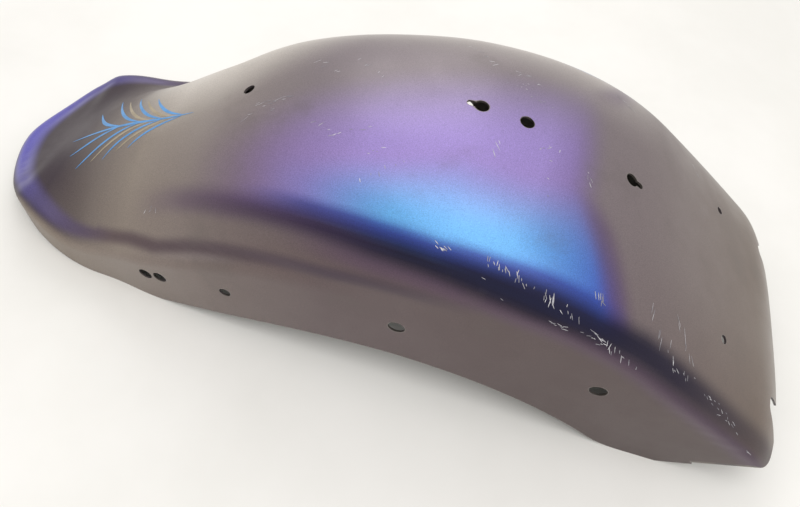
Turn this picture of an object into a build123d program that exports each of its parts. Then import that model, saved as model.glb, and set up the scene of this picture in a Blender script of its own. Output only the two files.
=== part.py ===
"""Motorcycle rear fender: one pressed steel shell with a flared tail, trimmed hem and pierced holes.

Frame: +X forward, +Z up, the shell standing on its hem, its plan centre at the origin.
The form is drawn from the tail root, where the body's walls start to close into the tail.
"""

import os
from math import atan2, cos, pi, radians, sin, sqrt, tan

from build123d import *

os.makedirs("parts", exist_ok=True)

# Sheet
sheet = 1.6

# Crown line in side view, from the tail root forward
root_height = 89.7
deck_slope = 28.15
deck_length = 25.7
saddle_radius = 519
saddle_turn = 7.9
crown_radius = 306
crown_turn = 71.2
panel_length = 125
lip_radius = 110
lip_turn = 20

# Tail: plan form behind the root and the slope at which its deck meets the rim
tail_length = 122
tail_roundness = 1.8
rim_radius = 13
tail_fall = 0.3

# Walls, as half widths at distances forward of the tail root
wall_at_root = 110
wall_at_saddle = 115.5
wall_at_crown = 120.5
wall_at_panel = 125
wall_at_front = 124
saddle_at = 53
crown_at = 133
panel_at = 453

# Rim line in side view: low at the tail, raised at its ears, then climbing until it fades into the shoulder
rim_at_tail = 21
rim_at_corner = 37
rim_at_ear = 45
rim_at_waist = 38
rim_at_root = 43
corner_share = 0.72
ear_share = 0.59
waist_share = 0.25
rim_at_saddle = 63
rim_at_crown = 102
rim_at_fade = 131
rim_fade_start = 28
rim_fade_end = 263

# Shoulder: how far the rounded crown drops before it becomes wall, measured square to the crown line
drop_at_crown = 66
drop_at_top = 70
drop_at_bend = 31
drop_at_front = 17
top_at = 220
bend_at = 408

# Hem, as places forward of the tail root and heights above the ground
tail_hem = 14
heel_from = 8
heel_to = 58
arch_rear = (165, 29)
arch_top = (287, 46)
arch_front = (377, 33)
toe_from = 443
toe_to = 490
toe_run = 60
toe_rise = 0.62
hem_easing = 60

# Front end: notches in the edge, rounded noses beside them, and walls that end behind the edge
notch_inner = 67
notch_outer = 98
notch_depth = 23
notch_lean = 3
notch_floor = 11
notch_easing = 0.6
nose_radius = 14
wall_end_depth = 62

# Holes through both walls, as places forward of the tail root and above the ground
strut_hole = 11.3
strut_places = [(52.1, 36.4), (65.7, 40)]
clip_hole = 9.4
clip_place = (125.1, 55.9)
frame_hole = 13
frame_places = [(260.8, 88.2), (409.2, 88.2)]

# Holes on the crown, as lengths along the crown line from the tail root
lamp_hole = 9.4
lamp_along = 120.6
seat_hole = 10.5
seat_slot = 5
seat_slot_reach = 8
seat_rear_along = 301
seat_mid_along = 334
seat_front_along = 421.5
panel_hole = 6.8
panel_hole_along = 542
panel_hole_spread = 126

# Cutters, as how far they reach past the skin
trim_clear = 40
trim_depth = 200
pierce_depth = 10

# Sampling of the skin
sections_body = 36
sections_tail = 30
points_across = 49
wall_share = 0.5
skirt = 12


def flow(x, *stations):
    """A smooth curve through (place, value) stations, level beyond its ends."""
    if x <= stations[0][0]:
        return stations[0][1]
    if x >= stations[-1][0]:
        return stations[-1][1]
    slopes = [0.0] * len(stations)
    for i in range(1, len(stations) - 1):
        run = stations[i + 1][0] - stations[i - 1][0]
        slopes[i] = (stations[i + 1][1] - stations[i - 1][1]) / run
    for i in range(len(stations) - 1):
        (x0, v0), (x1, v1) = stations[i], stations[i + 1]
        if x <= x1:
            run = x1 - x0
            t = (x - x0) / run
            ease = t * t * (3 - 2 * t)
            bend = t * (1 - t) * ((1 - t) * slopes[i] - t * slopes[i + 1]) * run
            return v0 + (v1 - v0) * ease + bend


# Crown line
with BuildLine(Plane.XZ) as crown_line:
    deck = PolarLine((0, root_height), deck_length, deck_slope)
    saddle = JernArc(deck @ 1, deck % 1, saddle_radius, saddle_turn)
    crown = JernArc(saddle @ 1, saddle % 1, crown_radius, -crown_turn)
    panel = PolarLine(crown @ 1, panel_length, direction=crown % 1)
    lip = JernArc(panel @ 1, panel % 1, lip_radius, -lip_turn)
crown_wire = crown_line.wires()[0]
front_end = lip @ 1


def crown_plane(along):
    """Plane on the crown line, with its X along the line and its Z square to the sheet."""
    share = along / crown_wire.length
    heading = crown_wire % share
    return Plane(crown_wire @ share, x_dir=heading, z_dir=(-heading.Z, 0, heading.X))


def wall_half(x):
    return flow(
        x,
        (0, wall_at_root),
        (saddle_at, wall_at_saddle),
        (crown_at, wall_at_crown),
        (panel_at, wall_at_panel),
        (front_end.X, wall_at_front),
    )


def rim_height(x):
    return flow(
        x,
        (-tail_length, rim_at_tail),
        (-tail_length * corner_share, rim_at_corner),
        (-tail_length * ear_share, rim_at_ear),
        (-tail_length * waist_share, rim_at_waist),
        (0, rim_at_root),
        (saddle_at, rim_at_saddle),
        (crown_at, rim_at_crown),
        (rim_fade_end, rim_at_fade),
    )


def tail_deck(x):
    """Height of the middle of the deck behind the tail root, down to the rim."""
    t = min(1.0, -x / tail_length)
    start = root_height * (2 * t**3 - 3 * t**2 + 1) + rim_at_tail * (3 * t**2 - 2 * t**3)
    leave = tan(radians(deck_slope)) * tail_length * (t**3 - 2 * t**2 + t)
    meet = tail_fall * tail_length * (t**3 - t**2)
    return start - leave - meet


def rim_point(x, across, crown_height):
    """Skin of the rimmed tail: a dome inside the rim, then the rim's roll and the wall below it."""
    behind = max(0.0, -x / tail_length)
    ring = (behind**tail_roundness + abs(across) ** tail_roundness) ** (1 / tail_roundness)
    half = wall_half(x) - rim_radius
    side = 1 if across >= 0 else -1
    if ring <= 1:
        reach = max(0.001, (1 - behind**tail_roundness) ** (1 / tail_roundness))
        out = min(1.0, abs(across) / reach)
        dome = crown_height - rim_height(x)
        fullness = flow(x, (-tail_length, 2.2), (0, 2.7), (saddle_at, 4.1), (crown_at, 5))
        return Vector(x, across * half, rim_height(x) + dome * (1 - out**fullness) ** 1.5)
    rim_x = -tail_length * behind / ring if behind > 0 else x
    rim_y = half * abs(across) / ring
    out_x = -((behind / ring) ** (tail_roundness - 1)) / tail_length
    out_y = (abs(across) / ring) ** (tail_roundness - 1) / half
    size = sqrt(out_x**2 + out_y**2)
    roll = rim_radius * pi / 2
    run = (ring - 1) / wall_share * (roll + rim_height(rim_x) - rim_radius + skirt)
    turn = min(run / rim_radius, pi / 2)
    reach = rim_radius * sin(turn)
    fall = rim_radius * (1 - cos(turn)) + max(0.0, run - roll)
    return Vector(
        rim_x + reach * out_x / size,
        side * (rim_y + reach * out_y / size),
        rim_height(rim_x) - fall,
    )


def shoulder_point(base, slope, across):
    """Skin of the body: a rounded crown that runs straight into the walls, square to the crown line."""
    lean = min(slope, 0.0)
    drop = flow(
        base.X,
        (crown_at, drop_at_crown),
        (top_at, drop_at_top),
        (bend_at, drop_at_bend),
        (front_end.X, drop_at_front),
    )
    squareness = flow(base.X, (crown_at, 2.2), (rim_fade_end, 2.6), (front_end.X, 3))
    if abs(across) <= 1:
        depth = drop * (1 - sqrt(1 - abs(across) ** squareness))
    else:
        depth = drop + (abs(across) - 1) / wall_share * ((base.Z + skirt) / cos(lean) - drop)
    half = wall_half(base.X) * max(-1.0, min(1.0, across))
    return Vector(base.X + depth * sin(lean), half, base.Z - depth * cos(lean))


def skin_point(base, slope, across):
    fade = flow(base.X, (rim_fade_start, 0), (rim_fade_end, 1))
    if fade == 0:
        return rim_point(base.X, across, base.Z)
    if fade == 1:
        return shoulder_point(base, slope, across)
    return rim_point(base.X, across, base.Z) * (1 - fade) + shoulder_point(base, slope, across) * fade


def even_section(point_at):
    """Points at even steps along a section, from one hem over the crown to the other."""
    fine = [(i / 200 - 1) * (1 + wall_share) for i in range(401)]
    trail = [point_at(a) for a in fine]
    lengths = [0.0]
    for before, after in zip(trail, trail[1:]):
        lengths.append(lengths[-1] + (after - before).length)
    points = []
    step = 0
    for i in range(points_across):
        wanted = lengths[-1] * i / (points_across - 1)
        while step < len(fine) - 2 and lengths[step + 1] < wanted:
            step += 1
        part_step = (wanted - lengths[step]) / (lengths[step + 1] - lengths[step])
        points.append(trail[step] + (trail[step + 1] - trail[step]) * part_step)
    return points


# Skin: sections from the front edge back over the crown, then on down behind the tail
sections = []
for i in range(sections_body + 1):
    share = 1 - i / sections_body
    base = crown_wire @ share
    heading = crown_wire % share
    slope = atan2(heading.Z, heading.X)
    sections.append(even_section(lambda a: skin_point(base, slope, a)))
for i in range(1, sections_tail + 1):
    x = -tail_length * (1 + wall_share) * i / sections_tail
    sections.append(even_section(lambda a: rim_point(x, a, tail_deck(x))))


def inward(i, j):
    """Direction square to the skin at a section point, towards the inside of the shell."""
    along = sections[min(i + 1, len(sections) - 1)][j] - sections[max(i - 1, 0)][j]
    across = sections[i][min(j + 1, points_across - 1)] - sections[i][max(j - 1, 0)]
    return along.cross(across).normalized()


def skin_over(rows):
    """One smooth face through rows of section points."""
    steps = [i / (points_across - 1) for i in range(points_across)]
    wires = [Wire([Edge.make_spline(points, parameters=steps)]) for points in rows]
    return Shell.make_loft(wires).faces()[0]


inner_sections = []
for i, points in enumerate(sections):
    inner_sections.append([point + inward(i, j) * sheet for j, point in enumerate(points)])
outer_skin = skin_over(sections)
inner_skin = skin_over(inner_sections)
skin_edges = zip(outer_skin.edges(), inner_skin.edges())
rough_edges = [Face.make_surface_from_curves(outer, inner) for outer, inner in skin_edges]

# Shell: the closed blank, trimmed along its hem and front end, then pierced
with BuildPart() as pressing:
    add(Solid(Shell([outer_skin, inner_skin, *rough_edges])))

    with BuildSketch(Plane.XZ) as below_hem:
        with BuildLine() as hem_line:
            heel = Line((heel_from, 0), (heel_to, 0))
            tail = TangentArc((heel_from, 0), (-tail_length - trim_clear, tail_hem), tangent=(-1, 0))
            arch = Spline((heel_to, 0), arch_rear, arch_top, arch_front, (toe_from, 0))
            toe = Line((toe_from, 0), (toe_to, 0))
            rise = Line((toe_to, 0), (toe_to + toe_run, toe_run * toe_rise))
            drop = Line(rise @ 1, (toe_to + toe_run, -trim_depth))
            under = Line(drop @ 1, (-tail_length - trim_clear, -trim_depth))
            close = Line(under @ 1, tail @ 1)
        make_face()
        fillet(below_hem.vertices().filter_by_position(Axis.X, heel_to - 1, toe_from + 1), radius=hem_easing)
    extrude(amount=wall_at_panel + trim_clear, both=True, mode=Mode.SUBTRACT)

    with BuildSketch(crown_plane(crown_wire.length)) as front_notches:
        for side in (1, -1):
            with BuildLine() as notch_line:
                Polyline(
                    (1, side * notch_inner),
                    (-notch_depth, side * (notch_inner + notch_lean)),
                    (-notch_depth, side * (notch_inner + notch_lean + notch_floor)),
                    (1, side * notch_outer),
                    close=True,
                )
            make_face()
        fillet(front_notches.vertices().group_by(Axis.X)[0], radius=notch_floor * notch_easing)
    extrude(amount=trim_clear, both=True, mode=Mode.SUBTRACT)

    with BuildSketch(crown_plane(crown_wire.length)) as wall_ends:
        for side in (1, -1):
            with BuildLine() as nose_line:
                nose = RadiusArc(
                    (0, side * (wall_at_front - nose_radius)),
                    (-nose_radius, side * wall_at_front),
                    side * nose_radius,
                )
                Polyline(
                    nose @ 1,
                    (-nose_radius, side * (wall_at_front + trim_clear)),
                    (trim_clear, side * (wall_at_front + trim_clear)),
                    (trim_clear, side * (wall_at_front - nose_radius)),
                    nose @ 0,
                )
            make_face()
    extrude(amount=-wall_end_depth, mode=Mode.SUBTRACT)

    with BuildSketch(Plane.XZ) as wall_holes:
        with Locations(*strut_places):
            Circle(strut_hole / 2)
        with Locations(clip_place):
            Circle(clip_hole / 2)
        with Locations(*frame_places):
            Circle(frame_hole / 2)
    extrude(amount=wall_at_panel + trim_clear, both=True, mode=Mode.SUBTRACT)

    for along, hole, slot in (
        (lamp_along, lamp_hole, 0),
        (seat_rear_along, seat_hole, -seat_slot_reach),
        (seat_mid_along, seat_hole, 0),
        (seat_front_along, seat_hole, seat_slot_reach),
    ):
        with BuildSketch(crown_plane(along)) as crown_hole:
            Circle(hole / 2)
            if slot:
                with Locations((slot / 2, 0)):
                    Rectangle(abs(slot), seat_slot)
                with Locations((slot, 0)):
                    Circle(seat_slot / 2)
        extrude(amount=pierce_depth, both=True, mode=Mode.SUBTRACT)

    with BuildSketch(crown_plane(panel_hole_along)) as panel_holes:
        with GridLocations(1, panel_hole_spread, 1, 2):
            Circle(panel_hole / 2)
    extrude(amount=pierce_depth, both=True, mode=Mode.SUBTRACT)

# Place the plan centre at the origin, with the hem already on the ground
plan_centre = (front_end.X - tail_length - rim_radius) / 2
with BuildPart() as fender_shell:
    add(pressing.part.moved(Location((-plan_centre, 0, 0))))
fender_shell.part.label = "fender_shell"
export_step(fender_shell.part, "parts/fender_shell.step")
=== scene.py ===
"""Looks of a motorcycle rear fender: satin colour-shift paint with painted highlight, reflection and shade
bands, scuffs, a pinstriped tail, a pale table.
"""

from math import cos, hypot, pi, radians, sin, sqrt, tan

import bpy
import numpy as np
from mathutils import Matrix, Vector
from mathutils.bvhtree import BVHTree
from mathutils.kdtree import KDTree


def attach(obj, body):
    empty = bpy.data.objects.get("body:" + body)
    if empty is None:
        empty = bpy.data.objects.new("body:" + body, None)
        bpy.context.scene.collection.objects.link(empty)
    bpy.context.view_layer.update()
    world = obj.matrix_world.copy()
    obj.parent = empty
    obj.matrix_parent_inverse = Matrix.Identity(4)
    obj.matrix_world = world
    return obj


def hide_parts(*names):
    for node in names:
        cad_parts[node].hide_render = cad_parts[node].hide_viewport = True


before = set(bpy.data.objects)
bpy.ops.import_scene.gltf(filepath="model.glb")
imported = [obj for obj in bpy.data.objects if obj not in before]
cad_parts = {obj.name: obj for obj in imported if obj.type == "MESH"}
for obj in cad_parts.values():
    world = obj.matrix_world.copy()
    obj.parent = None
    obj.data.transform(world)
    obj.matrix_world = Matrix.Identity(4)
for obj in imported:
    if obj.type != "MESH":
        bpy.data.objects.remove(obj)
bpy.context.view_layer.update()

scene = bpy.context.scene
MM = 0.001

# Sizes of the pressing, as in the part's source: lengths in millimetres, slopes and turns in degrees
sheet = 1.6
root_height, deck_slope, deck_length = 89.7, 28.15, 25.7
saddle_radius, saddle_turn = 519, 7.9
crown_radius, crown_turn = 306, 71.2
panel_length, lip_radius, lip_turn = 125, 110, 20
tail_length, tail_roundness, rim_radius, tail_fall = 122, 1.8, 13, 0.3
saddle_at, crown_at, panel_at = 53, 133, 453
wall_stations = [110, 115.5, 120.5, 125, 124]
rim_at_tail, rim_at_corner, rim_at_ear, rim_at_waist, rim_at_root = 21, 37, 45, 38, 43
corner_share, ear_share, waist_share = 0.72, 0.59, 0.25
rim_at_saddle, rim_at_crown, rim_at_fade = 63, 102, 131
rim_fade_start, rim_fade_end = 28, 263
drop_at_crown, drop_at_top, drop_at_bend, drop_at_front = 66, 70, 31, 17
top_at, bend_at = 220, 408
tail_hem, heel_from, heel_to, toe_from, toe_to, toe_rise, hem_easing = 14, 8, 58, 443, 490, 0.62, 60
arch = [(165, 29), (287, 46), (377, 33)]
notch_inner, notch_outer, notch_depth, notch_lean, notch_floor, notch_easing = 67, 98, 23, 3, 11, 0.6
nose_radius, wall_end_depth = 14, 62
dome_fullness, dome_power = [2.2, 2.7, 4.1, 5], 1.5
shoulder_squareness = [2.2, 2.6, 3]

# Holes through both walls, as (place forward of the tail root, height, diameter)
wall_holes = [
    (52.1, 36.4, 11.3),
    (65.7, 40, 11.3),
    (125.1, 55.9, 9.4),
    (260.8, 88.2, 13),
    (409.2, 88.2, 13),
]
# Holes on the crown line, as (place along it, diameter, reach of the slot)
crown_holes = [(120.6, 9.4, 0), (301, 10.5, -8), (334, 10.5, 0), (421.5, 10.5, 8)]
seat_slot = 5
panel_hole, panel_hole_along, panel_hole_spread = 6.8, 542, 126

# Cutting shapes: how far they reach past the skin and below the hem, and the mouth of a front notch
trim_clear, trim_depth, toe_run = 40, 200, 60
side_reach, notch_reach, nose_clear, pierce_reach, wall_end_rise = 160, 30, 9, 10, 0.6
mouth_clear, mouth_guide, mouth_spread_inner, mouth_spread_outer = 4, 1, 0.4, 3

# How the skin and its hem are drawn before the cuts
sections_body, sections_tail, points_across, wall_share, skirt = 36, 30, 97, 0.5, 12
rows_per_section, columns_per_step = 4, 1.75
half_trail, tail_hem_steps, arch_steps = 200, 40, 90
arch_look, heel_eased, toe_eased = 6, 11, 22

# Angle past which the shading breaks, in degrees, and the widest gap to a cut edge that is kept
sharp_angle, widest_gap = 40, 30.0

# Scratches and stripes: their lift off the skin, and how the skin is searched from outside, in millimetres
lift_off, search_from, axis_height = 0.12, 12, 40


def flow(x, *stations):
    """A smooth curve through (place, value) stations, level beyond its ends."""
    if x <= stations[0][0]:
        return stations[0][1]
    if x >= stations[-1][0]:
        return stations[-1][1]
    slopes = [0.0] * len(stations)
    for i in range(1, len(stations) - 1):
        run = stations[i + 1][0] - stations[i - 1][0]
        slopes[i] = (stations[i + 1][1] - stations[i - 1][1]) / run
    for i in range(len(stations) - 1):
        (x0, v0), (x1, v1) = stations[i], stations[i + 1]
        if x <= x1:
            run = x1 - x0
            t = (x - x0) / run
            bend = t * (1 - t) * ((1 - t) * slopes[i] - t * slopes[i + 1]) * run
            return v0 + (v1 - v0) * t * t * (3 - 2 * t) + bend


crown_runs = [
    (deck_length, 0),
    (saddle_radius * radians(saddle_turn), 1 / saddle_radius),
    (crown_radius * radians(crown_turn), -1 / crown_radius),
    (panel_length, 0),
    (lip_radius * radians(lip_turn), -1 / lip_radius),
]
crown_length = sum(run for run, bend in crown_runs)


def crown_place(along):
    """Place and heading on the crown line: x, z and the heading's angle above level."""
    x, z, heading = 0.0, root_height, radians(deck_slope)
    for run, bend in crown_runs:
        go = min(along, run)
        if bend:
            turned = heading + go * bend
            x += (sin(turned) - sin(heading)) / bend
            z -= (cos(turned) - cos(heading)) / bend
            heading = turned
        else:
            x += go * cos(heading)
            z += go * sin(heading)
        along -= go
        if along <= 0:
            break
    return x, z, heading


front_x = crown_place(crown_length)[0]
plan_centre = (front_x - tail_length - rim_radius) / 2


def wall_half(x):
    """Half the width over the walls at a place forward of the tail root."""
    return flow(x, *zip((0, saddle_at, crown_at, panel_at, front_x), wall_stations))


def rim_height(x):
    """Height of the rim line above the ground."""
    return flow(
        x,
        (-tail_length, rim_at_tail),
        (-tail_length * corner_share, rim_at_corner),
        (-tail_length * ear_share, rim_at_ear),
        (-tail_length * waist_share, rim_at_waist),
        (0, rim_at_root),
        (saddle_at, rim_at_saddle),
        (crown_at, rim_at_crown),
        (rim_fade_end, rim_at_fade),
    )


def tail_deck(x):
    """Height of the middle of the deck behind the tail root, down to the rim."""
    t = min(1.0, -x / tail_length)
    start = root_height * (2 * t**3 - 3 * t**2 + 1) + rim_at_tail * (3 * t**2 - 2 * t**3)
    leave = tan(radians(deck_slope)) * tail_length * (t**3 - 2 * t**2 + t)
    return start - leave - tail_fall * tail_length * (t**3 - t**2)


def rim_point(x, across, crown_height):
    """Rimmed form: a dome inside the rim, then the rim's roll and the wall below it."""
    behind = max(0.0, -x / tail_length)
    ring = (behind**tail_roundness + abs(across) ** tail_roundness) ** (1 / tail_roundness)
    half = wall_half(x) - rim_radius
    side = 1 if across >= 0 else -1
    if ring <= 1:
        reach = max(0.001, (1 - behind**tail_roundness) ** (1 / tail_roundness))
        out = min(1.0, abs(across) / reach)
        dome = crown_height - rim_height(x)
        fullness = flow(x, *zip((-tail_length, 0, saddle_at, crown_at), dome_fullness))
        return np.array((x, across * half, rim_height(x) + dome * (1 - out**fullness) ** dome_power))
    rim_x = -tail_length * behind / ring if behind > 0 else x
    rim_y = half * abs(across) / ring
    out_x = -((behind / ring) ** (tail_roundness - 1)) / tail_length
    out_y = (abs(across) / ring) ** (tail_roundness - 1) / half
    size = hypot(out_x, out_y)
    roll = rim_radius * pi / 2
    run = (ring - 1) / wall_share * (roll + rim_height(rim_x) - rim_radius + skirt)
    turn = min(run / rim_radius, pi / 2)
    reach = rim_radius * sin(turn)
    fall = rim_radius * (1 - cos(turn)) + max(0.0, run - roll)
    place = (rim_x + reach * out_x / size, side * (rim_y + reach * out_y / size), rim_height(rim_x) - fall)
    return np.array(place)


def shoulder_point(x, z, slope, across):
    """Shouldered form: a rounded crown that runs straight into the walls, square to the crown line."""
    lean = min(slope, 0.0)
    drop = flow(
        x,
        (crown_at, drop_at_crown),
        (top_at, drop_at_top),
        (bend_at, drop_at_bend),
        (front_x, drop_at_front),
    )
    squareness = flow(x, *zip((crown_at, rim_fade_end, front_x), shoulder_squareness))
    if abs(across) <= 1:
        depth = drop * (1 - sqrt(1 - abs(across) ** squareness))
    else:
        depth = drop + (abs(across) - 1) / wall_share * ((z + skirt) / cos(lean) - drop)
    half = wall_half(x) * max(-1.0, min(1.0, across))
    return np.array((x + depth * sin(lean), half, z - depth * cos(lean)))


def skin_point(x, z, slope, across):
    """Skin of the body: the rimmed form behind, fading into the shouldered form ahead."""
    fade = flow(x, (rim_fade_start, 0), (rim_fade_end, 1))
    if fade == 0:
        return rim_point(x, across, z)
    if fade == 1:
        return shoulder_point(x, z, slope, across)
    return rim_point(x, across, z) * (1 - fade) + shoulder_point(x, z, slope, across) * fade


def even_section(point_at):
    """Points at even steps along a section, from one hem over the crown to the other."""
    shares = [i / half_trail - 1 for i in range(2 * half_trail + 1)]
    trail = np.array([point_at(share * (1 + wall_share)) for share in shares])
    lengths = np.concatenate(([0], np.cumsum(np.linalg.norm(np.diff(trail, axis=0), axis=1))))
    wanted = np.linspace(0, lengths[-1], points_across)
    return np.stack([np.interp(wanted, lengths, trail[:, k]) for k in range(3)], axis=1)


def spline_weights(count, places):
    """Rows of weights that take values at 0, 1, 2 ... to a smooth cubic spline's values at the places."""
    bend = np.zeros((count, count))
    second = np.eye(count)
    for i in range(1, count - 1):
        second[i, i - 1 : i + 2] = 1, 4, 1
        bend[i, i - 1 : i + 2] = 6, -12, 6
    bend = np.linalg.solve(second, bend)
    weights = np.zeros((len(places), count))
    for row, t in enumerate(places):
        i = min(int(t), count - 2)
        s = t - i
        weights[row, i] += 1 - s
        weights[row, i + 1] += s
        weights[row] += bend[i] * ((1 - s) ** 3 - (1 - s)) / 6 + bend[i + 1] * (s**3 - s) / 6
    return weights


def skin_grid():
    """Fine grid of the outer skin in millimetres, placed as the CAD part is, and its outward normals."""
    sections = []
    for i in range(sections_body + 1):
        x, z, slope = crown_place(crown_length * (1 - i / sections_body))
        sections.append(even_section(lambda a: skin_point(x, z, slope, a)))
    for i in range(1, sections_tail + 1):
        x = -tail_length * (1 + wall_share) * i / sections_tail
        sections.append(even_section(lambda a: rim_point(x, a, tail_deck(x))))
    coarse = np.array(sections)
    rows = np.linspace(0, len(sections) - 1, (len(sections) - 1) * rows_per_section + 1)
    columns = np.linspace(0, points_across - 1, int((points_across - 1) * columns_per_step) + 1)
    down = spline_weights(len(sections), rows)
    over = spline_weights(points_across, columns)
    fine = np.einsum("ri,ijk,cj->rck", down, coarse, over)
    fine[..., 0] -= plan_centre
    inward = np.cross(np.gradient(fine, axis=0), np.gradient(fine, axis=1))
    return fine, -inward / np.linalg.norm(inward, axis=2, keepdims=True)


def skin_places(fine):
    """Each grid point's place along the crown line, and its girth from there down the near side."""
    rows = np.arange(len(fine)) / rows_per_section
    along = crown_length * (1 - rows / sections_body)
    behind = -tail_length * (1 + wall_share) * (rows - sections_body) / sections_tail
    along = np.where(rows <= sections_body, along, behind)
    steps = np.linalg.norm(np.diff(fine, axis=1), axis=2)
    girth = np.concatenate((np.zeros((len(fine), 1)), np.cumsum(steps, axis=1)), axis=1)
    girth -= girth[:, [fine.shape[1] // 2]]
    return np.broadcast_to(along[:, None], girth.shape), girth * -np.sign(fine[0, -1, 1])


def new_mesh(name, places, faces, materials=(), indices=None):
    """An object at the origin from places in millimetres."""
    mesh = bpy.data.meshes.new(name)
    mesh.from_pydata([tuple(p) for p in np.asarray(places) * MM], [], faces)
    for material in materials:
        mesh.materials.append(material)
    if indices is not None:
        mesh.polygons.foreach_set("material_index", indices)
    mesh.update()
    obj = bpy.data.objects.new(name, mesh)
    scene.collection.objects.link(obj)
    return obj


def prism(outline, place_at, low, high):
    """Closed prism over a flat outline; place_at takes (a, b, c) to millimetres in the part's frame."""
    n = len(outline)
    area = sum(outline[i - 1][0] * outline[i][1] - outline[i][0] * outline[i - 1][1] for i in range(n))
    if area < 0:
        outline = outline[::-1]
    places = [place_at(a, b, c) for c in (low, high) for a, b in outline]
    faces = [tuple(reversed(range(n))), tuple(range(n, 2 * n))]
    faces += [(i, (i + 1) % n, n + (i + 1) % n, n + i) for i in range(n)]
    return places, faces


def side_frame(a, b, c):
    """Side-view drawing: a forward of the tail root, b above the ground, c towards the near side."""
    return (a - plan_centre, -c, b)


def crown_frame(along):
    """Drawing on the crown: a along the crown line, b across it, c square to the sheet."""
    x, z, heading = crown_place(along)

    def place(a, b, c):
        return (
            x - plan_centre + a * cos(heading) - c * sin(heading),
            b,
            z + a * sin(heading) + c * cos(heading),
        )

    return place


def rounded(corner, before, after, radius, steps=8):
    """Points that ease a corner between two neighbours with about that radius."""
    corner, before, after = (np.array(p, float) for p in (corner, before, after))
    back = (before - corner) / np.linalg.norm(before - corner)
    on = (after - corner) / np.linalg.norm(after - corner)
    half_turn = (pi - np.arccos(np.clip(back @ on, -1, 1))) / 2
    reach = radius * tan(half_turn)
    start, end = corner + back * reach, corner + on * reach
    ts = np.linspace(0, 1, steps)
    return [tuple((1 - t) ** 2 * start + 2 * t * (1 - t) * corner + t * t * end) for t in ts]


def hem_outline():
    """Side-view outline of what is cut away under the hem."""
    tail_end = -tail_length - trim_clear
    run = heel_from - tail_end
    radius = (run**2 + tail_hem**2) / (2 * tail_hem)
    line = []
    for x in np.linspace(tail_end, heel_from, tail_hem_steps):
        line.append((x, radius - sqrt(radius**2 - (x - heel_from) ** 2)))
    knots = np.array([(heel_to, 0), *arch, (toe_from, 0)], float)
    steps = np.concatenate(([0], np.cumsum(np.linalg.norm(np.diff(knots, axis=0), axis=1))))
    count = len(knots)
    second, bend = np.eye(count), np.zeros((count, 2))
    for i in range(1, count - 1):
        h0, h1 = steps[i] - steps[i - 1], steps[i + 1] - steps[i]
        second[i, i - 1 : i + 2] = h0 / 6, (h0 + h1) / 3, h1 / 6
        bend[i] = (knots[i + 1] - knots[i]) / h1 - (knots[i] - knots[i - 1]) / h0
    second[0, 1] = second[-1, -2] = -1
    bend = np.linalg.solve(second, bend)
    curve = []
    for t in np.linspace(0, steps[-1], arch_steps):
        i = min(int(np.searchsorted(steps, t, side="right")) - 1, count - 2)
        h = steps[i + 1] - steps[i]
        b = (t - steps[i]) / h
        a = 1 - b
        place = a * knots[i] + b * knots[i + 1]
        place = place + ((a**3 - a) * bend[i] + (b**3 - b) * bend[i + 1]) * h * h / 6
        curve.append(tuple(place))
    line += rounded((heel_to, 0), (heel_from, 0), curve[arch_look], hem_easing)
    line += [p for p in curve[1:-1] if heel_to + heel_eased < p[0] < toe_from - toe_eased]
    line += rounded((toe_from, 0), curve[-1 - arch_look], (toe_to, 0), hem_easing)
    line += [(toe_to, 0), (toe_to + toe_run, toe_run * toe_rise)]
    line += [(toe_to + toe_run, -trim_depth), (tail_end, -trim_depth)]
    return line


def circle(a, b, diameter, steps=48, start=0.0, sweep=2 * pi):
    """Points on a circle, or on part of one."""
    turns = [start + sweep * i / steps for i in range(steps)]
    return [(a + diameter / 2 * cos(t), b + diameter / 2 * sin(t)) for t in turns]


def keyhole(diameter, slot):
    """Round hole with a slot that runs out of it along the crown line."""
    if not slot:
        return circle(0, 0, diameter)
    way = 1 if slot > 0 else -1
    mouth = np.arcsin(seat_slot / diameter)
    outline = circle(0, 0, diameter, 40, mouth, 2 * pi - 2 * mouth)
    outline.append((diameter / 2 * cos(mouth), -seat_slot / 2))
    outline += circle(abs(slot), 0, seat_slot, 13, -pi / 2, pi)
    outline.append((abs(slot), seat_slot / 2))
    return [(way * a, b) for a, b in outline]


def cutters():
    """What is cut out of the pressing after its hem: front notches, wall ends and every hole."""
    front = crown_frame(crown_length)
    for side in (1, -1):
        inner, ease = notch_inner + notch_lean, notch_floor * notch_easing
        outer = inner + notch_floor
        notch = [(mouth_clear, notch_inner - mouth_spread_inner)]
        notch += rounded((-notch_depth, inner), (mouth_guide, notch_inner), (-notch_depth, outer), ease)
        notch += rounded((-notch_depth, outer), (-notch_depth, inner), (mouth_guide, notch_outer), ease)
        notch += [(mouth_clear, notch_outer + mouth_spread_outer)]
        yield prism([(a, side * b) for a, b in notch], front, -notch_reach, notch_reach)
        wall = wall_stations[-1]
        nose = circle(-nose_radius, wall - nose_radius, 2 * nose_radius, 12, 0, pi / 2)
        nose += [(-nose_radius, wall), (-nose_radius, wall + nose_clear)]
        nose += [(nose_clear, wall + nose_clear), (nose_clear, wall - nose_radius)]
        yield prism([(a, side * b) for a, b in nose], front, -wall_end_depth, wall_end_rise)
    for x, z, diameter in wall_holes:
        yield prism(circle(x, z, diameter), side_frame, -side_reach, side_reach)
    for along, diameter, slot in crown_holes:
        yield prism(keyhole(diameter, slot), crown_frame(along), -pierce_reach, pierce_reach)
    for side in (1, -1):
        hole = circle(0, side * panel_hole_spread / 2, panel_hole)
        yield prism(hole, crown_frame(panel_hole_along), -pierce_reach, pierce_reach)


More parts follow.
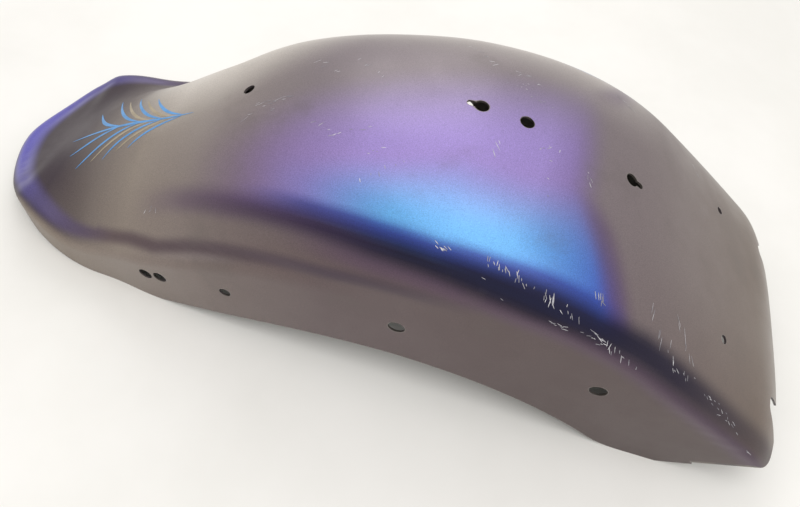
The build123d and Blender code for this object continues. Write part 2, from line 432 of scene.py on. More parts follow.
def cut(obj, shapes, material):
    """Cuts closed shapes out of an object; the faces that the cut leaves take the material."""
    places, faces = [], []
    for shape_places, shape_faces in shapes:
        faces += [tuple(i + len(places) for i in face) for face in shape_faces]
        places += shape_places
    tool = new_mesh("cutting_tool", places, faces, [material])
    step = obj.modifiers.new("cut", "BOOLEAN")
    step.operation = "DIFFERENCE"
    step.solver = "EXACT"
    step.material_mode = "TRANSFER"
    step.object = tool
    graph = bpy.context.evaluated_depsgraph_get()
    mesh = bpy.data.meshes.new_from_object(obj.evaluated_get(graph))
    obj.modifiers.remove(step)
    obj.data = mesh
    bpy.data.objects.remove(tool)


def srgb(red, green, blue):
    """A colour as it is seen on a screen, 0 to 255, in the renderer's own scale."""
    values = [c / 255 for c in (red, green, blue)]
    return [c / 12.92 if c <= 0.04045 else ((c + 0.055) / 1.055) ** 2.4 for c in values] + [1.0]


def group_socket(group, name, direction, kind="NodeSocketFloat", value=None):
    """A named input or output of a node group."""
    socket = group.interface.new_socket(name=name, in_out=direction, socket_type=kind)
    if value is not None:
        socket.default_value = value


def make_grain_group():
    """Two noises on the piece's own coordinates: fine grain and broad mottle."""
    group = bpy.data.node_groups.new("surface_grain", "ShaderNodeTree")
    group_socket(group, "Grain Scale", "INPUT", value=900.0)
    group_socket(group, "Mottle Scale", "INPUT", value=14.0)
    group_socket(group, "Grain", "OUTPUT")
    group_socket(group, "Mottle", "OUTPUT")
    nodes, links = group.nodes, group.links
    into, out = nodes.new("NodeGroupInput"), nodes.new("NodeGroupOutput")
    place = nodes.new("ShaderNodeTexCoord")
    grain, mottle = nodes.new("ShaderNodeTexNoise"), nodes.new("ShaderNodeTexNoise")
    grain.inputs["Detail"].default_value = 2.0
    mottle.inputs["Detail"].default_value = 5.0
    mottle.inputs["Roughness"].default_value = 0.6
    for noise, scale, result in ((grain, "Grain Scale", "Grain"), (mottle, "Mottle Scale", "Mottle")):
        links.new(place.outputs["Object"], noise.inputs["Vector"])
        links.new(into.outputs[scale], noise.inputs["Scale"])
        links.new(noise.outputs["Fac"], out.inputs[result])
    return group


def make_edge_group():
    """Mask that is 1 at the sheet's cut edges and breaks up over a chosen width in millimetres."""
    group = bpy.data.node_groups.new("edge_wear", "ShaderNodeTree")
    group_socket(group, "Width", "INPUT", value=2.0)
    group_socket(group, "Break Up", "INPUT", value=60.0)
    group_socket(group, "Mask", "OUTPUT")
    nodes, links = group.nodes, group.links
    into, out = nodes.new("NodeGroupInput"), nodes.new("NodeGroupOutput")
    gap = nodes.new("ShaderNodeAttribute")
    gap.attribute_name = "edge_gap"
    place, noise = nodes.new("ShaderNodeTexCoord"), nodes.new("ShaderNodeTexNoise")
    noise.inputs["Detail"].default_value = 4.0
    wide, share = nodes.new("ShaderNodeMath"), nodes.new("ShaderNodeMath")
    wide.operation, share.operation = "MULTIPLY", "DIVIDE"
    fade = nodes.new("ShaderNodeMapRange")
    fade.interpolation_type = "SMOOTHSTEP"
    fade.inputs["From Min"].default_value = 1.0
    fade.inputs["From Max"].default_value = 0.2
    links.new(place.outputs["Object"], noise.inputs["Vector"])
    links.new(into.outputs["Break Up"], noise.inputs["Scale"])
    links.new(noise.outputs["Fac"], wide.inputs[0])
    links.new(into.outputs["Width"], wide.inputs[1])
    links.new(gap.outputs["Fac"], share.inputs[0])
    links.new(wide.outputs["Value"], share.inputs[1])
    links.new(share.outputs["Value"], fade.inputs["Value"])
    links.new(fade.outputs["Result"], out.inputs["Mask"])
    return group


def placed(material, group, **values):
    """A shared group placed in a material with its own values; underscores stand for spaces."""
    node = material.node_tree.nodes.new("ShaderNodeGroup")
    node.node_tree = group
    for name, value in values.items():
        node.inputs[name.replace("_", " ")].default_value = value
    return node


def mixed(material, factor, first, second, blend="MIX"):
    """A colour mix; each of its three inputs is a socket or a fixed value."""
    node = material.node_tree.nodes.new("ShaderNodeMix")
    node.data_type = "RGBA"
    node.blend_type = blend
    for socket, value in ((node.inputs[0], factor), (node.inputs[6], first), (node.inputs[7], second)):
        if isinstance(value, bpy.types.NodeSocket):
            material.node_tree.links.new(value, socket)
        else:
            socket.default_value = value
    return node.outputs[2]


def ranged(material, value, low, high, to_low=0.0, to_high=1.0, smooth=True):
    """A value carried from one range to another, and held at its ends."""
    node = material.node_tree.nodes.new("ShaderNodeMapRange")
    node.interpolation_type = "SMOOTHSTEP" if smooth else "LINEAR"
    material.node_tree.links.new(value, node.inputs["Value"])
    for name, number in (("From Min", low), ("From Max", high), ("To Min", to_low), ("To Max", to_high)):
        node.inputs[name].default_value = number
    return node.outputs["Result"]


def new_material(name):
    """A new material and its shader."""
    material = bpy.data.materials.new(name)
    material.use_nodes = True
    return material, material.node_tree.nodes["Principled BSDF"]


def bumped(material, shader, height, strength, distance):
    """Gives a shader fine relief from a height."""
    node = material.node_tree.nodes.new("ShaderNodeBump")
    node.inputs["Strength"].default_value = strength
    node.inputs["Distance"].default_value = distance
    material.node_tree.links.new(height, node.inputs["Height"])
    material.node_tree.links.new(node.outputs["Normal"], shader.inputs["Normal"])


grain_group = make_grain_group()
edge_group = make_edge_group()

# The paint's colours as seen on a screen, and how far its flakes darken them; besides its own taupe they
# hold painted highlight, reflection and shade of its colour shift
paint_depth, flake_swing = 0.78, 0.14
smoke, taupe, mauve, cocoa = (78, 67, 74), (158, 144, 132), (134, 121, 126), (114, 95, 82)
clay, umber = (104, 85, 87), (78, 57, 55)
orchid, lavender, plum = (136, 108, 152), (170, 147, 218), (104, 74, 126)
periwinkle, sky, cobalt = (122, 138, 222), (102, 178, 241), (58, 72, 196)
violet, ultramarine = (96, 82, 150), (42, 74, 174)
grape, midnight, aubergine = (94, 68, 106), (25, 22, 52), (42, 28, 52)
iris, heather, wine = (116, 110, 206), (86, 74, 122), (68, 46, 66)

# Lines of the bands of painted highlight, reflection and shade, as (place along the crown line, girth down
# the near side) in millimetres
azure_line = [(130, 78), (200, 92), (260, 99), (310, 99), (380, 92), (440, 106)]
dark_line = [(80, 92), (140, 103), (220, 113), (260, 120), (340, 126), (380, 126), (460, 118), (600, 116)]
dark_top = [(80, 70), (140, 81), (220, 94), (260, 99), (300, 102)]
dark_top += [(340, 100), (380, 97), (420, 98), (460, 93)]
ridge_line = [(0, 111), (40, 119), (70, 129), (110, 134), (160, 141), (230, 149), (340, 151)]
lilac_from = [(140, 10), (220, -18), (300, -50), (380, -80)]
lilac_full = [(140, 78), (220, 62), (260, 54), (300, 38), (380, 10)]
# Where the painted glancing reflection on the far side sets in, by girth
painted_sheen_from = [(40, 40), (120, 20), (200, -32), (400, -32)]

# Widths of the bands, as (place along the crown line, width) in millimetres
azure_width = [(200, 28), (260, 42), (300, 56), (340, 54), (380, 62)]
azure_width_far = 10
rim_reach_in = [(-122, 19), (-60, 14), (0, 9)]
rim_reach_out = [(-60, 14), (0, 11.5)]
rim_full, rim_soft = 1.5, 9
far_shift = 22

# Strengths of the bands, as (place along the crown line, strength)
dark_strength = [(40, 0), (100, 0.55), (150, 0.75), (220, 1), (500, 0.95), (600, 0.6)]
ridge_strength = [(0, 1), (240, 1), (300, 0.7), (350, 0)]
painted_sheen_strength = [(-20, 0), (40, 1), (100, 0.85), (180, 0.65), (400, 0.55), (460, 0)]
fringe_strength, border_strength = 0.45, 0.5

# Where the bands set in along the crown line, as (none, full), and the lean of the colours' front end
lilac_start, azure_start, royal_start, fringe_start = (90, 205), (160, 255), (140, 220), (180, 260)
colours_end, border_start, border_end, matte_start = (402, 368), (370, 388), (410, 392), (10, -50)
end_lean, lean_below = 0.62, 38

# Soft edges of the bands in girth, as (none, full) from their lines; the border's are from the crown line
above_fade, royal_fade, dark_fade_in, dark_fade_out = (2, -6), (0, 9), (4, 20), (16, 1)
fringe_fade_in, fringe_fade_out, border_fade = (2, 10), (28, 14), (30, 62)
painted_sheen_fade, ridge_fade = (0, -85), (10, 1.5)


def rise(value, low, high):
    """A smooth step from 0 at low to 1 at high; low may be the larger."""
    t = np.clip((value - low) / (high - low), 0, 1)
    return t * t * (3 - 2 * t)


def line_at(stations, places):
    """Values at places between (place, value) stations."""
    return np.interp(places, *zip(*stations))


def painted_light_bands(along, girth, places):
    """How strongly each band of the paint shows at points of the skin; the colour bands are painted
    highlight, reflection and shade of its colour shift.
    """
    near = girth > 0
    down = np.where(near, girth, -girth - far_shift)
    ahead = along - end_lean * np.clip(down - lean_below, 0, None)
    from_dark, from_top = down - line_at(dark_line, along), down - line_at(dark_top, along)
    above = rise(from_dark, *above_fade)
    shown = rise(ahead, *colours_end) * above
    # Purple band over the crown: the paint's colour shift, painted in where the crown catches the light
    lilac_highlight = rise(along, *lilac_start) * shown
    lilac_highlight = lilac_highlight * rise(girth, line_at(lilac_from, along), line_at(lilac_full, along))
    # Sky-blue band along the shoulder: a painted highlight of the colour shift, narrow on the far side,
    # with a deeper blue below it
    azure_at = line_at(azure_line, along)
    width = np.where(near, line_at(azure_width, along), azure_width_far)
    azure_highlight = rise(along, *azure_start) * shown * rise(down, azure_at - width, azure_at)
    royal_highlight_edge = rise(along, *royal_start) * shown * rise(from_top, *royal_fade)
    # Navy band under the shoulder's highlight: painted shade and a painted darker reflection
    navy_shade = rise(from_top, *dark_fade_in) * rise(from_dark, *dark_fade_out) * line_at(dark_strength, along)
    # Purple fringes below the navy band and where the colours end at the front: painted light of the
    # colour shift
    fringe = rise(from_dark, *fringe_fade_in) * rise(from_dark, *fringe_fade_out)
    fringe = fringe * rise(along, *fringe_start) * fringe_strength
    border = rise(ahead, *border_start) * rise(ahead, *border_end) * rise(down, *border_fade)
    fringe = np.maximum(fringe, border * above * border_strength)
    # Painted reflection: the crown turns pale towards the far side, as a glancing light would make it
    painted_sheen = rise(girth - line_at(painted_sheen_from, along), *painted_sheen_fade) * line_at(painted_sheen_strength, along)
    # Band round the tail's rolled rim and along the side ridge: painted light of the colour shift, a
    # highlight on the rim and a darker purple line on the ridge
    from_ridge = abs(abs(girth) - line_at(ridge_line, along))
    ridge = rise(from_ridge, *ridge_fade) * line_at(ridge_strength, along)
    behind = np.clip(-(places[..., 0] + plan_centre) / tail_length, 0, None)
    beside = abs(places[..., 1]) / (wall_stations[0] - rim_radius)
    ring = (behind**tail_roundness + beside**tail_roundness) ** (1 / tail_roundness)
    out = (ring - 1) * tail_length
    reach_in = line_at(rim_reach_in, along)
    reach_out = line_at(rim_reach_out, along)
    tail_rim = rise(out, -reach_in, -rim_full) * rise(out, reach_out, reach_out - rim_soft)
    rim = np.where(along < 0, tail_rim, ridge)
    matte = np.maximum(navy_shade, rise(along, *matte_start) * (1 - rim))
    bands = {"lilac_highlight": lilac_highlight, "azure_highlight": azure_highlight, "royal_highlight_edge": royal_highlight_edge, "fringe": fringe, "navy_shade": navy_shade}
    return {"along": along, "rim": rim, "painted_sheen": painted_sheen, "matte": matte, **bands}


def along_ramp(material, stops):
    """Colours along the fender, as (place along the crown line, colour) stops."""
    node = material.node_tree.nodes.new("ShaderNodeValToRGB")
    node.color_ramp.interpolation = "LINEAR"
    elements = node.color_ramp.elements
    while len(elements) < len(stops):
        elements.new(0.5)
    first, last = stops[0][0], stops[-1][0]
    for element, (place, colour) in zip(elements, stops):
        element.position = (place - first) / (last - first)
        element.color = srgb(*colour)
    place = ranged(material, attribute(material, "along"), first, last, smooth=False)
    material.node_tree.links.new(place, node.inputs["Fac"])
    return node.outputs["Color"]


def attribute(material, name):
    """A value that the mesh keeps under a name."""
    node = material.node_tree.nodes.new("ShaderNodeAttribute")
    node.attribute_name = name
    return node.outputs["Fac"]


def make_shift_paint():
    """Satin colour-shift paint: taupe that turns purple, sky blue and navy where the sheet rolls over,
    with these bands painted in as highlight, reflection and shade.
    """
    paint, shader = new_material("colour_shift_paint")
    links = paint.node_tree.links
    # Crown and wall colours change along the fender as painted light: the saddle lighter as a painted
    # reflection, the tail deck, the front and the walls towards the front darker as painted shade
    crown = along_ramp(paint, [(-60, smoke), (30, taupe), (180, mauve), (380, mauve), (600, cocoa)])
    wall = along_ramp(paint, [(-60, taupe), (230, clay), (600, umber)])
    # Purple of the colour shift, its brightness along the crown painted in as light
    lilac_highlight = along_ramp(paint, [(140, orchid), (240, lavender), (350, lavender), (405, plum)])
    # Sky blue and deeper blue of the painted highlight on the shoulder
    azure_highlight = along_ramp(paint, [(200, periwinkle), (265, sky), (345, sky), (430, cobalt)])
    royal_highlight_edge = along_ramp(paint, [(160, violet), (260, ultramarine)])
    # Navy of the painted shade under the shoulder
    dusk = along_ramp(paint, [(80, grape), (280, midnight), (440, midnight), (600, aubergine)])
    # Blue and purple of the painted highlight on the tail rim, brightest at the tail's end, turning to a
    # darker painted purple along the side ridge
    rim_and_ridge_light = along_ramp(paint, [(-122, iris), (-60, heather), (20, clay), (240, wine)])
    # The sides take the wall colours by how far they face sideways: the paint's own taupe, darker on the
    # walls as painted shade
    colour = mixed(paint, ranged(paint, attribute(paint, "aside"), 0.5, 0.95), crown, wall)
    # Painted reflection: a pale glancing light over the far side of the crown
    colour = mixed(paint, attribute(paint, "painted_sheen"), colour, srgb(228, 219, 210))
    # Painted light: the purple of the colour shift where the crown catches the light
    colour = mixed(paint, attribute(paint, "lilac_highlight"), colour, lilac_highlight)
    # Painted highlight: sky blue on the shoulder, then its deeper blue edge
    colour = mixed(paint, attribute(paint, "azure_highlight"), colour, azure_highlight)
    colour = mixed(paint, attribute(paint, "royal_highlight_edge"), colour, royal_highlight_edge)
    # Painted light: the purple fringe, then the navy painted shade
    colour = mixed(paint, attribute(paint, "fringe"), colour, srgb(90, 58, 102))
    colour = mixed(paint, attribute(paint, "navy_shade"), colour, dusk)
    # Painted highlight on the tail rim and darker painted purple on the side ridge
    colour = mixed(paint, attribute(paint, "rim"), colour, rim_and_ridge_light)
    grain = placed(paint, grain_group, Grain_Scale=1500.0, Mottle_Scale=16.0)
    dull, bright = paint_depth - flake_swing, paint_depth + flake_swing
    flake = ranged(paint, grain.outputs["Grain"], 0.3, 0.7, dull, bright, smooth=False)
    colour = mixed(paint, 1.0, colour, flake, "MULTIPLY")
    soiled = ranged(paint, grain.outputs["Mottle"], 0.55, 0.75, 0.0, 0.3)
    colour = mixed(paint, soiled, colour, srgb(92, 84, 80))
    worn = placed(paint, edge_group, Width=1.6, Break_Up=70.0)
    colour = mixed(paint, worn.outputs["Mask"], colour, srgb(120, 112, 108))
    links.new(colour, shader.inputs["Base Color"])
    links.new(ranged(paint, grain.outputs["Mottle"], 0.3, 0.7, 0.36, 0.48), shader.inputs["Roughness"])
    shader.inputs["Metallic"].default_value = 0.35
    shader.inputs["Specular IOR Level"].default_value = 0.35
    links.new(ranged(paint, attribute(paint, "matte"), 0, 1, 0.45, 0.0), shader.inputs["Coat Weight"])
    shader.inputs["Coat Roughness"].default_value = 0.35
    bumped(paint, shader, grain.outputs["Grain"], 0.08, 0.0003)
    return paint


def make_underside():
    """Dark stone-guard coat on the inside of the shell."""
    coat, shader = new_material("underside_coat")
    links = coat.node_tree.links
    grain = placed(coat, grain_group, Grain_Scale=420.0, Mottle_Scale=9.0)
    dusty = ranged(coat, grain.outputs["Mottle"], 0.4, 0.7)
    colour = mixed(coat, dusty, srgb(44, 42, 41), srgb(84, 78, 70))
    worn = placed(coat, edge_group, Width=5.0, Break_Up=50.0)
    colour = mixed(coat, worn.outputs["Mask"], colour, srgb(110, 100, 92))
    links.new(colour, shader.inputs["Base Color"])
    links.new(ranged(coat, grain.outputs["Grain"], 0.3, 0.7, 0.7, 0.9), shader.inputs["Roughness"])
    bumped(coat, shader, grain.outputs["Grain"], 0.5, 0.0006)
    return coat


def make_cut_edge():
    """Cut edges of the sheet: thin paint worn through to steel."""
    edge, shader = new_material("worn_sheet_edge")
    links = edge.node_tree.links
    grain = placed(edge, grain_group, Grain_Scale=300.0, Mottle_Scale=60.0)
    bare = ranged(edge, grain.outputs["Mottle"], 0.45, 0.6)
    colour = mixed(edge, bare, srgb(70, 62, 64), srgb(128, 120, 114))
    links.new(colour, shader.inputs["Base Color"])
    links.new(bare, shader.inputs["Metallic"])
    shader.inputs["Roughness"].default_value = 0.45
    bumped(edge, shader, grain.outputs["Grain"], 0.3, 0.0003)
    return edge


shift_paint, underside_coat, sheet_edge = make_shift_paint(), make_underside(), make_cut_edge()


def make_shell():
    """The pressing as one closed shell on the CAD part's own form, trimmed and pierced."""
    outer, normals = skin_grid()
    inner = outer - normals * sheet
    high, wide = outer.shape[:2]
    number = np.arange(high * wide).reshape(high, wide)
    corners = [number[:-1, :-1], number[:-1, 1:], number[1:, 1:], number[1:, :-1]]
    quads = np.stack(corners, -1).reshape(-1, 4)
    middle = outer[high // 2, wide // 2]
    spread = np.cross(outer[high // 2, wide // 2 + 1] - middle, outer[high // 2 + 1, wide // 2] - middle)
    if spread @ normals[high // 2, wide // 2] < 0:
        quads = quads[:, ::-1]
    rim = np.concatenate((number[0, :], number[1:, -1], number[-1, -2::-1], number[-2:0:-1, 0]))
    on = np.roll(rim, -1)
    total = high * wide
    sides = np.stack([rim, on, on + total, rim + total], -1)
    first = quads[0].tolist()
    if first[(first.index(number[0, 0]) + 1) % 4] == number[0, 1]:
        sides = sides[:, ::-1]
    faces = np.concatenate((quads, quads[:, ::-1] + total, sides))
    kinds = np.repeat([0, 1, 2], [len(quads), len(quads), len(sides)])
    places = np.concatenate((outer.reshape(-1, 3), inner.reshape(-1, 3)))
    finishes = [shift_paint, underside_coat, sheet_edge]
    shell = new_mesh("fender_skin", places, faces.tolist(), finishes, kinds)
    cut(shell, [prism(hem_outline(), side_frame, -side_reach, side_reach)], sheet_edge)
    cut(shell, cutters(), sheet_edge)
    mesh = shell.data
    mesh.polygons.foreach_set("use_smooth", [True] * len(mesh.polygons))
    mesh.set_sharp_from_angle(angle=radians(sharp_angle))
    mark_edge_gap(mesh)
    mark_paint(mesh, outer, normals)
    return shell


def mark_edge_gap(mesh):
    """Keeps each vertex's distance to the nearest cut edge, in millimetres, for the edge wear."""
    rim = set()
    for face in mesh.polygons:
        if mesh.materials[face.material_index].name.startswith("worn_sheet_edge"):
            rim.update(face.vertices)
    tree = KDTree(len(rim))
    for index in rim:
        tree.insert(mesh.vertices[index].co, index)
    tree.balance()
    gaps = [min(widest_gap, tree.find(v.co)[2] / MM) for v in mesh.vertices]
    mesh.attributes.new("edge_gap", "FLOAT", "POINT").data.foreach_set("value", gaps)


def mark_paint(mesh, grid, normals):
    """Keeps each vertex's place, bands of painted highlight, reflection and shade, and sideways lean, from
    the nearest point of the skin's grid.
    """
    along, girth = skin_places(grid)
    bands = {"aside": abs(normals[..., 1]), **painted_light_bands(along, girth, grid)}
    tree = KDTree(along.size)
    for index, place in enumerate(grid.reshape(-1, 3) * MM):
        tree.insert(place, index)
    tree.balance()
    nearest = [tree.find(v.co)[1] for v in mesh.vertices]
    for name, values in bands.items():
        mesh.attributes.new(name, "FLOAT", "POINT").data.foreach_set("value", values.ravel()[nearest])


fender = make_shell()
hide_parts("fender_shell")
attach(fender, "root")

skin_corners = [v.co for v in fender.data.vertices]
skin_faces = [tuple(f.vertices) for f in fender.data.polygons]
surface = BVHTree.FromPolygons(skin_corners, skin_faces)


def on_skin(place):
    """Nearest place on the outer skin in millimetres, lifted a little off it, and the way it faces."""
    outwards = Vector((0, place[1], place[2] - axis_height)).normalized() * search_from
    found, normal = surface.find_nearest((Vector(place) + outwards) * MM)[:2]
    return found / MM + normal * lift_off, normal


def make_scratch_material():
    """Bare, bright lines where the paint is scraped through."""
    scraped, shader = new_material("scraped_paint")
    grain = placed(scraped, grain_group, Grain_Scale=700.0, Mottle_Scale=120.0)
    thin = ranged(scraped, grain.outputs["Mottle"], 0.4, 0.62)
    colour = mixed(scraped, thin, srgb(142, 140, 148), srgb(214, 212, 216))
    scraped.node_tree.links.new(colour, shader.inputs["Base Color"])
    shader.inputs["Roughness"].default_value = 0.55
    shader.inputs["Metallic"].default_value = 0.3
    return scraped


# How far scratches stray from their trail in millimetres and degrees, and their width in metres
stray, stray_turn, scratch_width = 1.6, 12, 0.00045

# Trails of scratches, as (start, end, how many, heading in plan in degrees, length), in millimetres
scratch_trails = [
    ((54, -106, 172), (64, -106, 173), 9, -35, 3),
    ((87, -105, 174), (118, -110, 168), 20, -72, 4),
    ((127, -112, 165), (136, -113, 163), 8, -72, 6),
    ((139, -115, 160), (156, -116, 156), 8, -72, 4),
    ((167, -117, 151), (177, -120, 145), 6, -35, 7),
    ((178, -121, 144), (186, -121, 141), 4, -75, 6),
    ((139, -122, 150), (148, -122, 148), 7, -5, 4),
    ((160, -122, 147), (174, -122, 143), 6, -15, 3),
    ((165, -96, 163), (169, -98, 162), 8, -70, 5),
    ((183, -122, 139), (199, -122, 133), 6, -70, 5),
    ((90, -115, 165), (102, -121, 155), 2, -40, 3),
    ((206, -84, 148), (206, -86, 147), 2, -80, 8),
    ((214, -92, 141), (218, -95, 138), 3, -85, 9),
    ((225, -97, 132), (232, -103, 125), 4, -65, 6),
    ((231, -75, 133), (247, -94, 118), 7, -52, 11),
    ((232, -106, 123), (250, -103, 114), 8, -45, 4),
    ((265, -104, 104), (301, -108, 78), 18, -20, 4),
    ((316, -118, 62), (318, -118, 62), 2, -40, 7),
    ((-103, -21, 159), (-79, -16, 171), 12, 12, 6),
    ((-88, -25, 167), (-86, -24, 168), 2, 25, 6),
    ((-107, -32, 156), (-104, -31, 157), 2, 25, 6),
    ((-52, -38, 181), (-30, -50, 184), 5, 40, 4),
    ((-42, 26, 185), (-12, 3, 193), 6, 50, 4),
    ((37, 67, 191), (60, 48, 194), 6, 20, 5),
    ((78, 48, 193), (96, 44, 192), 6, 30, 5),
    ((104, -16, 192), (116, -12, 190), 4, 65, 5),
    ((160, 84, 168), (176, 74, 160), 6, -30, 6),
    ((246, 77, 123), (252, 70, 119), 5, -40, 5),
    ((-4, -80, 180), (20, -59, 192), 6, -60, 3),
    ((-175, -82, 80), (-164, -83, 88), 4, 60, 4),
    ((73, 29, 197), (99, 43, 192), 6, 20, 2),
    ((81, 36, 195), (99, 22, 194), 7, 10, 2),
    ((86, 32, 195), (108, 22, 192), 4, 30, 2),
    ((142, -22, 183), (145, -24, 182), 5, -60, 4),
    ((112, -14, 191), (116, -51, 188), 4, 0, 2),
    ((73, -25, 197), (77, -36, 196), 3, -65, 7),
    ((-71, 25, 174), (-54, 10, 181), 5, 15, 6),
    ((-29, -47, 186), (-12, -38, 191), 4, 30, 4),
    ((6, -52, 192), (-7, -58, 188), 4, 10, 3),
]


def make_scratch_tree(material):
    """Lays a thin sliver on every seat, along its way and flat on the skin."""
    tree = bpy.data.node_groups.new("lay_scratches", "GeometryNodeTree")
    group_socket(tree, "Geometry", "INPUT", "NodeSocketGeometry")
    group_socket(tree, "Width", "INPUT", value=scratch_width)
    group_socket(tree, "Shortest", "INPUT", value=0.4)
    group_socket(tree, "Longest", "INPUT", value=1.3)
    group_socket(tree, "Seed", "INPUT", "NodeSocketInt", 3)
    group_socket(tree, "Geometry", "OUTPUT", "NodeSocketGeometry")
    nodes, links = tree.nodes, tree.links
    into, out = nodes.new("NodeGroupInput"), nodes.new("NodeGroupOutput")
    sliver = nodes.new("GeometryNodeMeshCircle")
    sliver.fill_type = "NGON"
    sliver.inputs["Vertices"].default_value = 8
    sliver.inputs["Radius"].default_value = 0.5
    named = {}
    for name, kind in (("facing", "FLOAT_VECTOR"), ("way", "FLOAT_VECTOR"), ("length", "FLOAT")):
        named[name] = nodes.new("GeometryNodeInputNamedAttribute")
        named[name].data_type = kind
        named[name].inputs["Name"].default_value = name
    turn = nodes.new("FunctionNodeAxesToRotation")
    turn.primary_axis, turn.secondary_axis = "Z", "X"
    links.new(named["facing"].outputs["Attribute"], turn.inputs["Primary Axis"])
    links.new(named["way"].outputs["Attribute"], turn.inputs["Secondary Axis"])
    vary, long = nodes.new("FunctionNodeRandomValue"), nodes.new("ShaderNodeMath")
    vary.data_type, long.operation = "FLOAT", "MULTIPLY"
    links.new(into.outputs["Shortest"], vary.inputs[2])
    links.new(into.outputs["Longest"], vary.inputs[3])
    links.new(into.outputs["Seed"], vary.inputs["Seed"])
    links.new(vary.outputs[1], long.inputs[0])
    links.new(named["length"].outputs["Attribute"], long.inputs[1])
    size, lay = nodes.new("ShaderNodeCombineXYZ"), nodes.new("GeometryNodeInstanceOnPoints")
    links.new(long.outputs[0], size.inputs["X"])
    links.new(into.outputs["Width"], size.inputs["Y"])
    size.inputs["Z"].default_value = 1.0
    real, dress = nodes.new("GeometryNodeRealizeInstances"), nodes.new("GeometryNodeSetMaterial")
    dress.inputs["Material"].default_value = material
    links.new(into.outputs["Geometry"], lay.inputs["Points"])
    links.new(sliver.outputs["Mesh"], lay.inputs["Instance"])
    links.new(turn.outputs["Rotation"], lay.inputs["Rotation"])
    links.new(size.outputs["Vector"], lay.inputs["Scale"])
    links.new(lay.outputs["Instances"], real.inputs["Geometry"])
    links.new(real.outputs["Geometry"], dress.inputs["Geometry"])
    links.new(dress.outputs["Geometry"], out.inputs["Geometry"])
    return tree


def make_scratches():
    """Scrapes and ticks in the paint, scattered about the places that show them."""
    chance = np.random.default_rng(11)
    seats, facing, ways, lengths = [], [], [], []
    for start, end, count, heading, length in scratch_trails:
        for share in np.linspace(0, 1, count):
            place = np.array(start) * (1 - share) + np.array(end) * share
            place, normal = on_skin(place + chance.normal(0, stray, 3))
            turn = radians(heading + chance.normal(0, stray_turn))
            seats.append(place)
            facing.append(normal)
            ways.append((cos(turn), sin(turn), 0.0))
            lengths.append(length * MM)
    seat_mesh = new_mesh("scratches", seats, [])
    mesh = seat_mesh.data
    for name, kind, values in (("facing", "FLOAT_VECTOR", facing), ("way", "FLOAT_VECTOR", ways)):
        mesh.attributes.new(name, kind, "POINT").data.foreach_set("vector", np.array(values).ravel())
    mesh.attributes.new("length", "FLOAT", "POINT").data.foreach_set("value", lengths)
    step = seat_mesh.modifiers.new("lay_scratches", "NODES")
    step.node_group = make_scratch_tree(make_scratch_material())
    for item in step.node_group.interface.items_tree:
        if item.in_out == "INPUT" and item.name == "Width":
            step[item.identifier] = scratch_width
    graph = bpy.context.evaluated_depsgraph_get()
    laid = bpy.data.meshes.new_from_object(seat_mesh.evaluated_get(graph))
    seat_mesh.modifiers.remove(step)
    seat_mesh.data = laid
    return seat_mesh


# Pinstripes on the tail deck, as curves of four plan points on one side of the spine, in millimetres
spine_y = -9
stripe_width, stripe_steps, tip_share, stripe_fullness = 2.4, 29, 0.12, 0.6
thin_enamel = 0.8
blue_stripes = [
    ((-164, 0), (-200, 0), (-240, 0), (-286, 0)),
    ((-176, 1), (-190, 4), (-206, 12), (-216, 26)),
    ((-196, 1), (-212, 4), (-230, 14), (-240, 32)),
    ((-218, 1), (-234, 4), (-252, 14), (-264, 34)),
    ((-240, 1), (-252, 3), (-266, 8), (-276, 18)),
]
sand_stripes = [
    ((-186, 1), (-202, 4), (-216, 12), (-228, 27)),
    ((-208, 1), (-224, 4), (-240, 14), (-252, 31)),
]


def deck_height(x):
    """Height of the crown line over a plan place on the tail or the saddle."""
    x += plan_centre
    return tail_deck(x) if x < 0 else root_height + x * tan(radians(deck_slope))


def make_pinstripes(name, stripes, colour):
    """Stripes that thin at both ends, mirrored over the spine and lying on the skin."""
    enamel, shader = new_material(name + "_enamel")
    grain = placed(enamel, grain_group, Grain_Scale=500.0, Mottle_Scale=90.0)
    patchy = ranged(enamel, grain.outputs["Mottle"], 0.35, 0.65)
    tint = mixed(enamel, patchy, [c * thin_enamel for c in colour[:3]] + [1], colour)
    enamel.node_tree.links.new(tint, shader.inputs["Base Color"])
    shader.inputs["Roughness"].default_value = 0.4
    places, faces = [], []
    for ends in stripes:
        for side in (1, -1) if ends[1][1] else (1,):
            p = np.array(ends, float) * (1, side)
            for i, t in enumerate(np.linspace(0, 1, stripe_steps)):
                u = 1 - t
                middle = u**3 * p[0] + 3 * u * u * t * p[1] + 3 * u * t * t * p[2] + t**3 * p[3]
                way = u * u * (p[1] - p[0]) + 2 * u * t * (p[2] - p[1]) + t * t * (p[3] - p[2])
                aside = np.array((-way[1], way[0])) / hypot(*way)
                half = stripe_width / 2 * max(tip_share, sin(pi * t) ** stripe_fullness)
                for edge in (half, -half):
                    x, y = middle + aside * edge
                    places.append(on_skin((x, y + spine_y, deck_height(x)))[0])
                if i:
                    n = len(places)
                    faces.append((n - 4, n - 3, n - 1, n - 2))
    return new_mesh(name, places, faces, [enamel])


extras = [
    make_scratches(),
    make_pinstripes("blue_pinstripes", blue_stripes, srgb(84, 152, 214)),
    make_pinstripes("sand_pinstripes", sand_stripes, srgb(168, 154, 130)),
]
for piece in extras:
    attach(piece, "root")

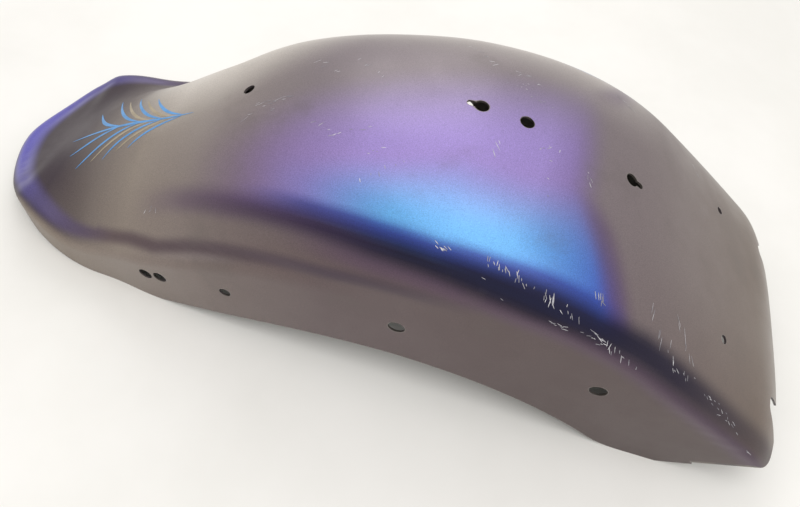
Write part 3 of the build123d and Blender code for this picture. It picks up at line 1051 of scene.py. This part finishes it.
# Table, light and camera
floor_material, floor_shader = new_material("pale_table")
floor_grain = placed(floor_material, grain_group, Grain_Scale=120.0, Mottle_Scale=3.0)
floor_shade = ranged(floor_material, floor_grain.outputs["Mottle"], 0.3, 0.7)
floor_colour = mixed(floor_material, floor_shade, srgb(238, 236, 231), srgb(246, 244, 240))
floor_material.node_tree.links.new(floor_colour, floor_shader.inputs["Base Color"])
floor_shader.inputs["Roughness"].default_value = 0.6
table_reach = 6000
table_corners = [(a * table_reach, b * table_reach, 0) for a, b in ((-1, -1), (1, -1), (1, 1), (-1, 1))]
floor = new_mesh("table_top", table_corners, [(0, 1, 2, 3)])
floor.data.materials.append(floor_material)

world = bpy.data.worlds.new("pale_room")
world.use_nodes = True
world.node_tree.nodes["Background"].inputs["Color"].default_value = srgb(248, 247, 245)
world.node_tree.nodes["Background"].inputs["Strength"].default_value = 0.75
scene.world = world


def soft_light(name, place, aim, size, power):
    """A square white lamp that faces a place; lengths in metres, power in watts."""
    data = bpy.data.lights.new(name, "AREA")
    data.size, data.energy = size, power
    light = bpy.data.objects.new(name, data)
    light.location = place
    light.rotation_euler = (Vector(aim) - Vector(place)).to_track_quat("-Z", "Y").to_euler()
    scene.collection.objects.link(light)


soft_light("overhead_light", (0.2, -0.5, 1.8), (0, 0, 0.1), 1.4, 14)
soft_light("far_light", (-0.4, 1.4, 1.3), (0, 0, 0.1), 1.2, 8)

camera_data = bpy.data.cameras.new("camera")
focal_pixels, image_width, sensor_width = 620, 800, 36
camera_data.lens = focal_pixels / image_width * sensor_width
camera_data.sensor_width = sensor_width
camera_data.clip_start = 0.01
camera = bpy.data.objects.new("camera", camera_data)
right, up, back = (0.9571, 0.2657, 0.1152), (-0.2839, 0.7825, 0.5541), (0.0570, -0.5631, 0.8244)
camera_place = (0.05686, -0.33077, 0.48375)
camera_turn = Matrix((right, up, back)).transposed().to_4x4()
camera.matrix_world = Matrix.Translation(camera_place) @ camera_turn
scene.collection.objects.link(camera)
scene.camera = camera
scene.view_settings.view_transform = "Standard"
